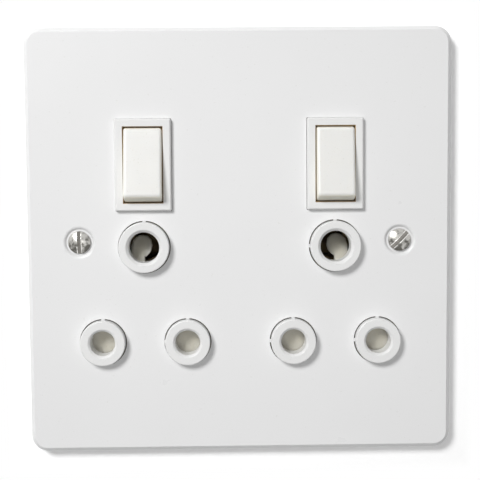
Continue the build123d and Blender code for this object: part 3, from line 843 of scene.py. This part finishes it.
@dataclass
class Workshop:
    """Turns meshes into finished pieces that ride on a body.

    Fields:
        palette: finishes of the pieces.
        merge: vertices nearer than this are one, in millimetres.
        level: faces that turn by less than this lie in one plane, in degrees.
        flat_above: smallest many-sided face that is shaded flat, in square millimetres.
    """

    palette: Palette
    merge: float = 0.002
    level: float = 0.4
    flat_above: float = 4.0

    def copy_of(self, node: str, roundings: Sequence[Rounding], cuts: Sequence[float] = (),
                weld: float = 0.0) -> bmesh.types.BMesh:
        """Copies a CAD node's mesh and rounds its edges.

        Args:
            node: name of the CAD node.
            roundings: edges to round, in order.
            cuts: x of upright lines through the holes of its flat faces, in millimetres.
            weld: edges shorter than this are drawn to a point, in millimetres.

        Returns:
            The merged and rounded mesh.
        """
        bm = bmesh.new()
        bm.from_mesh(frame["nodes"][node].data)
        bmesh.ops.remove_doubles(bm, verts=bm.verts, dist=self.merge * MM)
        slivers = [edge for edge in bm.edges if edge.calc_length() < weld * MM]
        bmesh.ops.collapse(bm, edges=slivers)
        for x in cuts:
            for edge in cut_at(bm, x):
                edge.seam = True
        bmesh.ops.dissolve_limit(bm, angle_limit=math.radians(self.level), use_dissolve_boundaries=False,
                                 verts=bm.verts, edges=bm.edges, delimit={"SEAM"})
        for rounding in roundings:
            rounding.apply(bm)
        flat = [] if cuts else self.refill(bm)
        smallest = self.flat_above * MM**2
        flat += [face for face in bm.faces if len(face.verts) > 4 and face.calc_area() > smallest]
        for face in set(bm.faces).difference(flat):
            face.smooth = True
        return bm

    def refill(self, bm: bmesh.types.BMesh) -> list[bmesh.types.BMFace]:
        """Fills each flat region that holes cut into several faces anew.

        Args:
            bm: the mesh.

        Returns:
            The new faces.
        """
        bm.normal_update()
        limit = math.radians(self.level)
        left = set(bm.faces)
        regions = []
        while left:
            region = [left.pop()]
            for face in region:
                for edge in face.edges:
                    near = [other for other in edge.link_faces if other in left]
                    flat = [other for other in near if other.normal.angle(face.normal, 1.0) < limit]
                    region.extend(flat)
                    left.difference_update(flat)
            if len(region) > 1:
                regions.append(region)
        made = []
        for region in regions:
            inside = set(region)
            normal = max(region, key=lambda face: face.calc_area()).normal.copy()
            edges = {edge for face in region for edge in face.edges}
            rim = [edge for edge in edges if not inside.issuperset(edge.link_faces)]
            bmesh.ops.delete(bm, geom=region, context="FACES_KEEP_BOUNDARY")
            fill = bmesh.ops.triangle_fill(bm, edges=rim, use_beauty=True, use_dissolve=False,
                                           normal=normal)
            made += only(bmesh.types.BMFace, fill["geom"])
        return [face for face in made if face.is_valid]

    def piece(self, bm: bmesh.types.BMesh, name: str, body: str, finish: Finish,
              stands_for: Sequence[str] = (), smooth: float = 32.0) -> bpy.types.Object:
        """Makes a mesh a piece of the object.

        Args:
            bm: the mesh, freed here.
            name: the piece's name.
            body: body that it rides on.
            finish: its finish.
            stands_for: CAD nodes that it replaces.
            smooth: largest turn of two faces that are shaded as one, in degrees.

        Returns:
            The new object.
        """
        limit = math.radians(smooth)
        for edge in bm.edges:
            alike = len({face.smooth for face in edge.link_faces}) == 1
            edge.smooth = alike and edge.calc_face_angle(0.0) < limit
        made = meshed(name, bm, self.palette.material(finish))
        weighted = made.modifiers.new("even_normals", "WEIGHTED_NORMAL")
        weighted.keep_sharp = True
        weighted.weight = 100
        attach(made, body)
        if stands_for:
            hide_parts(*stands_for)
        LOG.info("piece %s: %d faces", name, len(made.data.polygons))
        return made

    def softened(self, node: str, body: str, finish: Finish, *roundings: Rounding,
                 cuts: Sequence[float] = (), weld: float = 0.0) -> None:
        """Replaces a CAD node by its own shape with rounded edges.

        Args:
            node: name of the CAD node.
            body: body that it rides on.
            finish: its finish.
            roundings: edges to round, in order.
            cuts: x of upright lines through the holes of its flat faces, in millimetres.
            weld: edges shorter than this are drawn to a point, in millimetres.
        """
        bm = self.copy_of(node, roundings, cuts, weld)
        self.piece(bm, node + "_finished", body, finish, (node,))

    def dress(self, node: str, finish: Finish) -> None:
        """Gives a CAD node a finish and leaves its shape."""
        for slot in frame["nodes"][node].material_slots:
            slot.material = self.palette.material(finish)
        LOG.info("node %s: %s", node, finish.name)


@dataclass
class CoverPlate:
    """Pressed steel tray with a turned edge.

    Fields:
        half: half its width, in millimetres.
        border: width of the turned edge, in millimetres.
        front: its face, as y in millimetres.
        edge_y: the turned edge is rounded in front of this y, in millimetres.
        near: how far behind the face an edge still belongs to it, in millimetres.
        reach: largest distance of a dimple's edge from its screw, in millimetres.
        edge: radius of the turned edge, in millimetres.
        hole: radius at the holes, in millimetres.
        dimple: radius at the dimples, in millimetres.
    """

    shop: Workshop
    half: float = 63.5
    border: float = 1.5
    front: float = -5.0
    edge_y: float = -3.0
    near: float = 0.1
    reach: float = 6.0
    edge: float = 0.7
    hole: float = 0.15
    dimple: float = 0.4

    def at_edge(self, point: Vector) -> bool:
        """Tells whether a point in millimetres is on the turned edge."""
        return max(abs(point.x), abs(point.z)) > self.half - self.border

    def at_dimple(self, point: Vector) -> bool:
        """Tells whether a point in millimetres is at a screw's dimple."""
        return math.hypot(abs(point.x) - self.shop.palette.layout.screw_x, point.z) < self.reach

    def at_hole(self, point: Vector) -> bool:
        """Tells whether a point in millimetres is at a hole, away from the edge and the dimples."""
        return not self.at_edge(point) and not self.at_dimple(point)

    def build(self) -> None:
        """Rounds the turned edge, the holes and the dimples."""
        layout = self.shop.palette.layout
        pins = [layout.outlet_x + aside for aside in (-layout.pin_x, 0.0, layout.pin_x)]
        behind = self.front + self.near
        self.shop.softened(
            "cover_plate", "housing", self.shop.palette.plate,
            Rounding(lambda p: self.at_edge(p) and p.y < self.edge_y, self.edge, steps=6),
            Rounding(lambda p: self.at_dimple(p) and p.y < behind, self.dimple, steps=4),
            Rounding(lambda p: self.at_hole(p) and p.y < behind, self.hole, steps=3),
            cuts=[sign * x for x in (*pins, layout.screw_x) for sign in (-1, 1)],
        )


@dataclass
class FrontMoulding:
    """Collars and switch surrounds that stand through the plate.

    Fields:
        collar_face: face of the collars, as y in millimetres.
        surround_face: face of the surrounds, as y in millimetres.
        surround_foot: a surround is rounded in front of this y, in millimetres.
        opening: half width and half height of a switch opening with its rim, in millimetres.
        near: how far from a face an edge still belongs to it, in millimetres.
        flush: how far from a face an edge lies in it, in millimetres.
        collar: radius of the collars' edges, in millimetres.
        mouth: radius of the bores' mouths, in millimetres.
        rim: radius of the openings' edges, in millimetres.
        surround: radius of the surrounds' edges, in millimetres.
    """

    shop: Workshop
    collar_face: float = -7.8
    surround_face: float = -6.7
    surround_foot: float = -5.2
    opening: Span = (6.3, 11.7)
    near: float = 0.1
    flush: float = 0.01
    collar: float = 0.3
    mouth: float = 0.15
    rim: float = 0.08
    surround: float = 0.2

    def on_surround(self, point: Vector) -> bool:
        """Tells whether a point in millimetres is in the height of the surrounds."""
        return self.surround_face - self.near < point.y < self.surround_foot

    def at_opening(self, point: Vector) -> bool:
        """Tells whether a point in millimetres is at the rim of a switch opening."""
        layout = self.shop.palette.layout
        up = abs(point.z - layout.switch_z)
        return layout.from_outlet(point) < self.opening[0] and up < self.opening[1]

    def build(self) -> None:
        """Rounds collars, mouths and surrounds."""
        self.shop.softened(
            "front_moulding", "housing", self.shop.palette.front,
            Rounding(lambda p: p.y < self.collar_face + self.near, self.collar, steps=4, above=60.0),
            Rounding(lambda p: p.y < self.collar_face + self.flush, self.mouth, steps=3, above=40.0),
            Rounding(lambda p: self.on_surround(p) and self.at_opening(p), self.rim, steps=2, above=30.0),
            Rounding(lambda p: self.on_surround(p) and not self.at_opening(p), self.surround, steps=3,
                     above=30.0),
        )


@dataclass(frozen=True)
class Spring:
    """Round wire wound to a coil.

    Fields:
        radius: of the coil's middle line, in millimetres.
        length: between the middles of its ends, in millimetres.
        turns: number of turns.
        wire: thickness of the wire, in millimetres.
        steps: straight lengths in a turn.
        sides: facets round the wire.
        smooth: largest turn of two facets that are shaded as one, in degrees.
    """

    radius: float
    length: float
    turns: int = 5
    wire: float = 0.45
    steps: int = 24
    sides: int = 10
    smooth: float = 60.0

    def coil(self, seat: Matrix) -> bmesh.types.BMesh:
        """Winds the wire about the seat's z axis.

        Args:
            seat: place and direction of the coil's foot, in metres.

        Returns:
            The closed coil.
        """
        bm = bmesh.new()
        bmesh.ops.create_circle(bm, segments=self.sides, radius=self.wire / 2 * MM)
        upright = Matrix.Translation((self.radius * MM, 0, 0)) @ Matrix.Rotation(math.pi / 2, 4, "X")
        bmesh.ops.transform(bm, matrix=upright, verts=bm.verts)
        count = self.turns * self.steps
        bmesh.ops.spin(bm, geom=bm.verts[:] + bm.edges[:], cent=(0, 0, 0), axis=(0, 0, 1),
                       dvec=(0, 0, self.length * MM / count), angle=math.tau * self.turns, steps=count,
                       use_merge=False, use_normal_flip=False, use_duplicate=False)
        bmesh.ops.holes_fill(bm, edges=[edge for edge in bm.edges if edge.is_boundary], sides=0)
        bmesh.ops.recalc_face_normals(bm, faces=bm.faces)
        bmesh.ops.transform(bm, matrix=seat, verts=bm.verts)
        for face in bm.faces:
            face.smooth = True
        return bm


@dataclass
class Switch:
    """Rocker, plunger, spring and see-saw contact of one outlet.

    Fields:
        tilt: lean of the rocker at rest, in degrees.
        corner: radius of the rocker's upright corners, in millimetres.
        corner_from: half width and half height past which its corners are, in millimetres.
        corner_y: the corners are rounded in front of this y, in millimetres.
        lip: radius of the face's edges, in millimetres.
        lip_y: the face's edges are in front of this y, in millimetres.
        sliver: edges shorter than this are drawn to a point, in millimetres.
        opening: half width and half height of the opening, in millimetres.
        strip_w: width of the strip of painted shade, in millimetres.
        strip_y: front and back of the strip of painted shade, in millimetres.
        strip_cuts: cuts along each side of the strip of painted shade.
        spring: size of the spring.
        spring_foot: how far the spring's foot is behind the pivot, in millimetres.
        spring_top: how far its upper end is in front of the pivot, in millimetres.
    """

    shop: Workshop
    side: str
    tilt: float = 9.0
    corner: float = 0.6
    corner_from: Span = (5.3, 9.0)
    corner_y: float = -3.5
    lip: float = 0.34
    lip_y: float = -5.0
    sliver: float = 0.1
    opening: Span = (6.0, 11.4)
    # Strip of painted shade in the gap between the rocker and its opening.
    strip_w: float = 0.22
    strip_y: Span = (-6.4, -6.1)
    strip_cuts: int = 6
    spring: Spring = Spring(radius=1.35, length=5.44)
    spring_foot: float = 3.72
    spring_top: float = 2.0

    def at_corner(self, point: Vector) -> bool:
        """Tells whether a point in millimetres is on one of the rocker's four upright corners."""
        layout = self.shop.palette.layout
        at_side = layout.from_outlet(point) > self.corner_from[0]
        at_end = abs(point.z - layout.switch_z) > self.corner_from[1]
        return at_end and at_side and point.y < self.corner_y

    def build(self) -> None:
        """Rounds the rocker and dresses what is below it."""
        palette = self.shop.palette
        joint = next(joint for joint in frame["joints"] if joint["name"] == self.side + "_rocker_tilt")
        pivot = Vector(joint["pos_m"])
        body = self.side + "_rocker_body"
        self.shop.softened(
            self.side + "_rocker", body, palette.rocker,
            Rounding(self.at_corner, self.corner, steps=5, above=50.0, clamp=False),
            Rounding(lambda p: p.y < self.lip_y, self.lip, steps=4, above=25.0, clamp=False),
            weld=self.sliver,
        )
        self.shop.dress(self.side + "_plunger", palette.shutter)
        self.shop.dress(self.side + "_contact_arm", palette.copper)
        # The live strip gets the brass copy darkened with painted shade.
        self.shop.dress(self.side + "_live_strip", palette.shaded_brass)
        self.wind(pivot, body)
        # Lays a dark strip of painted shade in the gap round the rocker.
        self.lay_shade_strip(pivot)

    def lay_shade_strip(self, pivot: Vector) -> None:
        """Lays a narrow dark strip of painted shade along the walls of the opening, clear of the rocker.

        Args:
            pivot: the rocker's pivot, in metres.
        """
        front, back = self.strip_y
        bm = bmesh.new()
        bmesh.ops.create_grid(bm, x_segments=1, y_segments=1, size=1.0)
        bmesh.ops.scale(bm, vec=(self.opening[0] * MM, self.opening[1] * MM, 1), verts=bm.verts)
        bmesh.ops.inset_region(bm, faces=bm.faces[:], thickness=self.strip_w * MM, use_boundary=True,
                               use_even_offset=True)
        middle = max(bm.faces, key=lambda face: face.calc_area())
        bmesh.ops.delete(bm, geom=[middle], context="FACES")
        bmesh.ops.subdivide_edges(bm, edges=bm.edges[:], cuts=self.strip_cuts, use_grid_fill=True)
        bmesh.ops.solidify(bm, geom=bm.faces[:], thickness=(back - front) * MM)
        bmesh.ops.recalc_face_normals(bm, faces=bm.faces)
        bmesh.ops.transform(bm, matrix=facing_out(pivot.x, front * MM, pivot.z), verts=bm.verts)
        self.shop.piece(bm, self.side + "_switch_shade_strip", "housing", self.shop.palette.shade_strip)

    def wind(self, pivot: Vector, body: str) -> None:
        """Winds the spring inside the rocker's post.

        Args:
            pivot: the rocker's pivot, in metres.
            body: body that carries the spring.
        """
        name = self.side + "_rocker_spring"
        lean = math.radians(self.tilt)
        out = Vector((0, -math.cos(lean), math.sin(lean)))
        foot = Matrix.Translation(pivot - out * self.spring_foot * MM)
        coil = self.spring.coil(foot @ out.to_track_quat("Z", "X").to_matrix().to_4x4())
        finish = self.shop.palette.spring
        made = self.shop.piece(coil, name + "_wound", body, finish, (name,), self.spring.smooth)
        top = pivot + out * self.spring_top * MM
        self.side + "_plunger_slide"
        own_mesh(made)


@dataclass
class Shutter:
    """Sliding shutter of one outlet with its return spring.

    Fields:
        edge: radius of its edges, in millimetres.
        spring_r: radius of the spring's middle line, in millimetres.
        spring_turns: number of the spring's turns.
        spring_end: how far the wire's middle is from the spring's ends, in millimetres.
    """

    shop: Workshop
    side: str
    edge: float = 0.18
    spring_r: float = 1.5
    spring_turns: int = 7
    spring_end: float = 0.28

    def build(self) -> None:
        """Rounds the shutter's edges and winds its spring."""
        palette = self.shop.palette
        self.shop.softened(
            self.side + "_shutter", self.side + "_shutter_body", palette.shutter,
            Rounding(anywhere, self.edge, steps=2, above=30.0),
        )
        name = self.side + "_shutter_spring"
        low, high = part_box(name)
        foot = Vector(((low.x + high.x) / 2, (low.y + high.y) / 2, low.z + self.spring_end * MM))
        length = (high.z - low.z) / MM - 2 * self.spring_end
        spring = Spring(self.spring_r, length, turns=self.spring_turns)
        coil = spring.coil(Matrix.Translation(foot))
        made = self.shop.piece(coil, name + "_wound", "housing", palette.spring, (name,), spring.smooth)
        self.side + "_shutter_slide"
        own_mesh(made)


@dataclass
class FixingScrews:
    """Two raised-head slotted screws.

    Fields:
        head_r: radius of a head, in millimetres.
        rim: height of a head at its edge, in millimetres.
        head_h: height of a head at its middle, in millimetres.
        slot_w: width of a slot, in millimetres.
        slot_depth: depth of a slot, in millimetres.
        slot_edge: radius of a slot's edges, in millimetres.
        slot_low: how far below the crown these edges go, in millimetres.
        neck_r: radius of a neck, in millimetres.
        shank_r: radius of a shank, in millimetres.
        seat: height over the wall at which the heads sit, in millimetres.
        tip: height over the wall at which the shanks end, in millimetres.
        point: chamfer of a shank's end, in millimetres.
        turns: directions of the left and the right slot, in degrees.
        sides: facets round a screw.
        crown_steps: facets from the crown to the rim.
        flush: how far from a plane an edge lies in it, in millimetres.
        merge: vertices nearer than this are one, in millimetres.
        smooth: largest turn of two facets that are shaded as one, in degrees.
    """

    shop: Workshop
    head_r: float = 3.35
    rim: float = 0.6
    head_h: float = 1.6
    slot_w: float = 1.1
    slot_depth: float = 1.2
    slot_edge: float = 0.16
    slot_low: float = 1.1
    neck_r: float = 1.6
    shank_r: float = 1.75
    seat: float = 4.4
    tip: float = -24.6
    point: float = 0.5
    turns: Span = (2.0, -45.0)
    sides: int = 64
    crown_steps: int = 12
    flush: float = 0.01
    merge: float = 0.001
    smooth: float = 35.0

    @property
    def floor(self) -> float:
        """Height of the slots' floor over the seat, in millimetres."""
        return self.head_h - self.slot_depth

    def lathe(self, profile: Sequence[Span]) -> bmesh.types.BMesh:
        """Spins a profile about the screw's axis.

        Args:
            profile: radius and height of each corner, in millimetres.

        Returns:
            The closed mesh.
        """
        bm = bmesh.new()
        line = [bm.verts.new((radius * MM, 0, height * MM)) for radius, height in profile]
        edges = [bm.edges.new(pair) for pair in zip(line, line[1:])]
        bmesh.ops.spin(bm, geom=line + edges, cent=(0, 0, 0), axis=(0, 0, 1), dvec=(0, 0, 0),
                       angle=math.tau, steps=self.sides, use_merge=True, use_normal_flip=False,
                       use_duplicate=False)
        bmesh.ops.remove_doubles(bm, verts=bm.verts, dist=self.merge * MM)
        return bm

    def dome(self) -> list[Span]:
        """Gives the profile of the head above the slot's floor."""
        rise = self.head_h - self.rim
        ball = (self.head_r**2 + rise**2) / (2 * rise)
        span = math.asin(self.head_r / ball)
        arc = [span * step / self.crown_steps for step in range(self.crown_steps + 1)]
        crown = [(ball * math.sin(a), self.head_h - ball + ball * math.cos(a)) for a in arc]
        return [*crown, (self.head_r, self.floor), (0, self.floor)]

    def lower(self) -> list[Span]:
        """Gives the profile of the head below the slot's floor, the neck and the shank."""
        end = self.tip - self.seat
        return [
            (0, self.floor), (self.head_r, self.floor), (self.head_r, 0),
            (self.neck_r, 0), (self.neck_r, -self.seat), (self.shank_r, -self.seat),
            (self.shank_r, end + self.point), (self.shank_r - self.point, end), (0, end),
        ]

    def at_slot(self, point: Vector) -> bool:
        """Tells whether a point in millimetres is on the upper edge of the slot's wall."""
        in_wall = abs(point.x - self.slot_w / 2) < self.flush
        return in_wall and point.z > self.head_h - self.slot_low

    def head_half(self, turn: float) -> bmesh.types.BMesh:
        """Makes the head on one side of the slot.

        Args:
            turn: its direction about the axis, in degrees.

        Returns:
            The closed mesh.
        """
        half = self.lathe(self.dome())
        rim = cut_at(half, self.slot_w / 2, clear=True)
        bmesh.ops.edgeloop_fill(half, edges=rim)
        bmesh.ops.recalc_face_normals(half, faces=half.faces)
        Rounding(self.at_slot, self.slot_edge, steps=3).apply(half)
        about = Matrix.Rotation(math.radians(turn), 3, "Z")
        bmesh.ops.rotate(half, cent=(0, 0, 0), matrix=about, verts=half.verts)
        return half

    def build(self) -> None:
        """Makes both screws in one piece."""
        centre = self.shop.palette.layout.screw_x
        both = bmesh.new()
        for sign, turn in zip((-1, 1), self.turns):
            one = self.lathe(self.lower())
            bmesh.ops.recalc_face_normals(one, faces=one.faces)
            for half in (0, 180):
                join(one, self.head_half(turn + half))
            seat = facing_out(sign * centre * MM, -self.seat * MM, 0)
            bmesh.ops.transform(one, matrix=seat, verts=one.verts)
            join(both, one)
        for face in both.faces:
            face.smooth = True
        finish = replace(self.shop.palette.screw, slot_w=self.slot_w, turns=self.turns)
        self.shop.piece(both, "fixing_screws_turned", "housing", finish, ("fixing_screws",), self.smooth)


@dataclass
class Housing:
    """What is behind the plate: rear moulding, yoke, conductors and their screws.

    Fields:
        moulded: radius of the rear moulding's edges, in millimetres.
        plated: radius of the yoke's and the screws' edges, in millimetres.
        sawn: radius of the terminals' edges, in millimetres.
    """

    shop: Workshop
    moulded: float = 0.25
    plated: float = 0.12
    sawn: float = 0.15

    def build(self) -> None:
        """Rounds the rear moulding, the yoke, the screws and the terminals and dresses the rest."""
        palette = self.shop.palette
        screws = ("assembly_screws", "terminal_screws")
        terminals = ("live_terminal", "neutral_terminal", "earth_terminal")
        softened = (
            (("rear_moulding",), palette.rear, Rounding(anywhere, self.moulded, steps=2, above=30.0)),
            (("mounting_yoke",), palette.zinc, Rounding(anywhere, self.plated, steps=2, above=30.0)),
            (screws, palette.zinc, Rounding(anywhere, self.plated, steps=2, above=40.0)),
            (terminals, palette.brass, Rounding(anywhere, self.sawn, steps=2, above=40.0)),
        )
        for nodes, finish, rounding in softened:
            for node in nodes:
                self.shop.softened(node, "housing", finish, rounding)
        # The bars get the brass copy darkened with painted shade.
        for node in ("live_busbar", "neutral_busbar", "earth_busbar"):
            self.shop.dress(node, palette.shaded_brass)
        self.shop.dress("fixed_contacts", palette.silver)


@dataclass
class Wall:
    """White wall round the box opening, seen from the front only.

    Fields:
        half: half its width, in metres.
        opening: half the width of its opening, in metres.
        corner: radius of the opening's corners, in metres.
        glow: light of its own where the shadow falls.
        shade: distances from the middle between which the shading turns plain white, in millimetres.
    """

    half: float = 2.0
    opening: float = 0.0633
    corner: float = 0.005
    glow: float = 0.12
    shade: Span = (67.5, 72.0)

    def material(self) -> bpy.types.Material:
        """Builds the wall's paint, clear from behind."""
        shader = Shader.of_finish("white_wall")
        paint = shader.signal("ShaderNodeBsdfDiffuse", None, {"Color": rgba(WHITE)})
        light = shader.signal("ShaderNodeEmission", None, {"Strength": self.glow})
        lit = shader.signal("ShaderNodeAddShader", None, {0: paint, 1: light})
        near = shader.blend(shader.direct(), paint, lit)
        x, _, z = shader.axes()
        beyond = abs(x).most(abs(z)).between(*self.shade) * shader.direct()
        white = shader.signal("ShaderNodeEmission", None, {"Strength": 1.0})
        front = shader.blend(beyond, near, white)
        behind = shader.signal("ShaderNodeNewGeometry", output="Backfacing")
        clear = shader.signal("ShaderNodeBsdfTransparent")
        shader.close(shader.blend(behind, front, clear))
        return shader.owner

    def build(self) -> None:
        """Makes the sheet with its opening."""
        bm = bmesh.new()
        bmesh.ops.create_grid(bm, x_segments=1, y_segments=1, size=self.opening)
        bmesh.ops.bevel(bm, geom=bm.verts[:], offset=self.corner, offset_type="OFFSET", segments=8,
                        profile=0.5, affect="VERTICES", material=-1)
        opening = bm.faces[:]
        reach = self.half / self.opening
        ring = bmesh.ops.extrude_edge_only(bm, edges=bm.edges[:])["geom"]
        bmesh.ops.scale(bm, vec=(reach, reach, 1), verts=only(bmesh.types.BMVert, ring))
        bmesh.ops.delete(bm, geom=opening, context="FACES")
        bmesh.ops.recalc_face_normals(bm, faces=bm.faces)
        bmesh.ops.rotate(bm, cent=(0, 0, 0), matrix=Matrix.Rotation(math.pi / 2, 3, "X"), verts=bm.verts)
        made = meshed("wall", bm, self.material())


@dataclass(frozen=True)
class Lamp:
    """One soft square lamp that looks at the plate.

    Fields:
        place: where it hangs, in metres.
        size: its width, in metres.
        power: in watts.
    """

    name: str
    place: Triple
    size: float
    power: float

    def build(self) -> None:
        """Hangs the lamp."""
        data = bpy.data.lights.new(self.name, "AREA")
        data.size = self.size
        data.energy = self.power
        made = placed(self.name, data)
        made.location = self.place
        made.rotation_euler = (-Vector(self.place)).to_track_quat("-Z", "Y").to_euler()


@dataclass
class Studio:
    """Even sky, one key lamp from the upper left, a soft fill from the front and one from behind.

    Fields:
        sky: strength of the sky's light.
        key, fill, back: the lamps.
    """

    sky: float = 0.22
    key: Lamp = Lamp("key", (-0.45, -0.76, 0.48), size=0.3, power=8.2)
    fill: Lamp = Lamp("fill", (0.1, -1.05, -0.15), size=0.6, power=1.4)
    back: Lamp = Lamp("back", (0.4, 0.8, 0.5), size=0.7, power=7.0)

    def build(self) -> None:
        """Lights the scene."""
        shader = Shader(bpy.data.worlds.new("studio"))
        sky = shader.signal("ShaderNodeBackground", None, {"Color": rgba(WHITE), "Strength": self.sky})
        white = shader.signal("ShaderNodeBackground", None, {"Color": rgba(WHITE)})
        shader.close(shader.blend(shader.direct(), sky, white))
        bpy.context.scene.world = shader.owner
        for lamp in (self.key, self.fill, self.back):
            lamp.build()


@dataclass
class Viewpoint:
    """Camera at the photograph's place, for a square picture.

    Fields:
        place: where it stands, in metres.
        pitch: how far it looks up, in degrees.
        yaw: how far it looks to the right, in degrees.
        roll: how far its right side is raised, in degrees.
        lens: focal length, in millimetres.
        sensor: width of the picture behind the lens, in millimetres.
        nearest: distance from which it sees, in metres.
    """

    place: Triple = (-0.0051, -0.300, 0.0209)
    pitch: float = -3.99
    yaw: float = 1.0
    roll: float = -0.45
    lens: float = 74.1
    sensor: float = 36.0
    nearest: float = 0.01

    def build(self) -> None:
        """Sets up the camera."""
        pitch, yaw, roll = (math.radians(angle) for angle in (self.pitch, self.yaw, self.roll))
        ahead = Vector((math.sin(yaw) * math.cos(pitch), math.cos(yaw) * math.cos(pitch), math.sin(pitch)))
        level = Vector((math.cos(yaw), -math.sin(yaw), 0))
        upright = level.cross(ahead)
        right = math.cos(roll) * level + math.sin(roll) * upright
        up = math.cos(roll) * upright - math.sin(roll) * level
        data = bpy.data.cameras.new("camera")
        data.sensor_fit = "HORIZONTAL"
        data.sensor_width = self.sensor
        data.lens = self.lens
        data.clip_start = self.nearest
        made = placed("camera", data)
        turn = Matrix((right, up, -ahead)).transposed().to_4x4()
        made.matrix_world = Matrix.Translation(self.place) @ turn
        bpy.context.scene.camera = made


def main() -> None:
    """Builds the sub-assemblies in order, then the stage, and notes the sizes."""
    logging.basicConfig(level=logging.INFO, format="%(name)s: %(message)s")
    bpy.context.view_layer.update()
    shop = Workshop(Palette(Layout.of_record()))
    CoverPlate(shop).build()
    FrontMoulding(shop).build()
    for side in ("left", "right"):
        Switch(shop, side).build()
        Shutter(shop, side).build()
    FixingScrews(shop).build()
    Housing(shop).build()
    Wall().build()
    Studio().build()
    Viewpoint().build()
    bpy.context.scene.view_settings.view_transform = "Standard"


if __name__ == "__main__":
    main()
